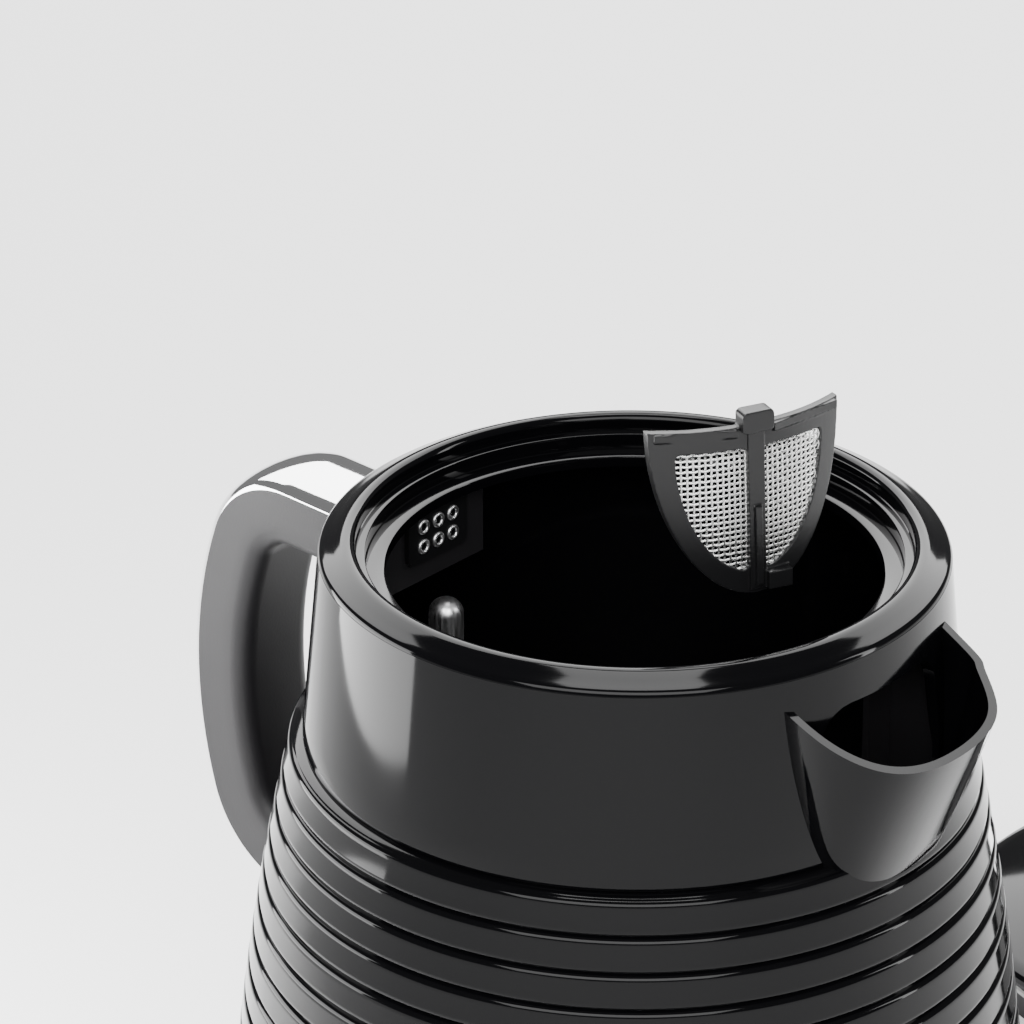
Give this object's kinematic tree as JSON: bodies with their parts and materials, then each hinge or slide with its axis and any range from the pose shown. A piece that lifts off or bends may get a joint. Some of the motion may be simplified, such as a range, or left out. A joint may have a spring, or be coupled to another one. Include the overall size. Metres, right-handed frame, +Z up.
{
  "type": "electric kettle",
  "caption": "Cordless electric kettle with a ribbed black body, pouring spout, chrome and black loop handle, power base, pull-off lid and a lift-out mesh filter raised over its open mouth.",
  "frame": {"origin": "middle of the power base's underside, on the table", "axes": "+Z up along the kettle's axis, +X towards the spout, the handle at -X; the lid lies at +Y"},
  "size_m": [0.197, 0.3433, 0.2263],
  "materials": {
    "black_gloss": "moulded high gloss",
    "black_matt": "fine moulded texture",
    "black_satin": "satin",
    "white_plastic": "plain moulded",
    "chrome": "mirror plated",
    "steel": "brushed",
    "steel_mesh": "woven wire",
    "brass": "plain",
    "silicone": "matt translucent",
    "rubber": "matt",
    "lamp_red": "clear tinted"
  },
  "bodies": {
    "power_base": {"base_shell": "black_gloss", "base_plate": "black_matt", "base_centre_foot": "rubber", "base_feet": "rubber", "base_screws": "steel", "cord_gland": "rubber"},
    "socket": {"base_socket": "black_matt", "socket_contacts": "brass"},
    "kettle": {"body_shell": "black_gloss", "collar_ring": "black_gloss", "spout": "black_gloss", "handle_band": "chrome", "handle_grip": "black_matt", "handle_screws": "steel", "steam_hood": "black_matt", "steam_vent_plate": "black_satin", "steam_tube": "steel", "element_plate": "steel", "element_seal": "silicone", "heating_element": "steel", "kettle_connector": "black_matt", "thermostat_control": "white_plastic", "bottom_cover": "black_matt", "bottom_screws": "steel", "switch_bracket": "black_matt", "switch_pin": "steel", "indicator_lamp": "lamp_red", "filter_cradle": "black_matt"},
    "switch": {"switch_lever": "black_gloss"},
    "filter_carrier": {"filter_spine": "steel"},
    "filter": {"filter_frame": "black_satin", "filter_mesh_left": "steel_mesh", "filter_mesh_right": "steel_mesh"},
    "lid": {"lid_inner": "black_matt", "lid_seal": "silicone", "lid_cover": "black_gloss", "lid_knob": "chrome", "lid_screw": "steel"}
  },
  "joints": [
    {"name": "kettle_turn", "type": "hinge", "parent": "power_base", "child": "socket", "pos_m": [0, 0, 0.022], "axis": [0, 0, 1], "continuous": true},
    {"name": "kettle_lift", "type": "slide", "parent": "socket", "child": "kettle", "axis": [0, 0, 1], "range_m": [0, 0.12]},
    {"name": "switch_press", "type": "hinge", "parent": "kettle", "child": "switch", "pos_m": [-0.073, 0, 0.0353], "axis": [0, 1, 0], "range_deg": [-8, 8]},
    {"name": "filter_lower", "type": "slide", "parent": "kettle", "child": "filter_carrier", "axis": [0.323, 0, -0.9464], "range_m": [0, 0.04427]},
    {"name": "filter_swing", "type": "hinge", "parent": "filter_carrier", "child": "filter", "pos_m": [0.0297, 0, 0.2052], "axis": [-0.0454, 0, 0.999], "range_deg": [0, 25.6]},
    {"name": "lid_lift", "type": "slide", "parent": "power_base", "child": "lid", "axis": [0, 0, 1], "range_m": [0, 0.1]}
  ],
  "couplings": [
    {"joint": "filter_swing", "follows": "filter_lower", "rad_per_m": 10.013}
  ]
}
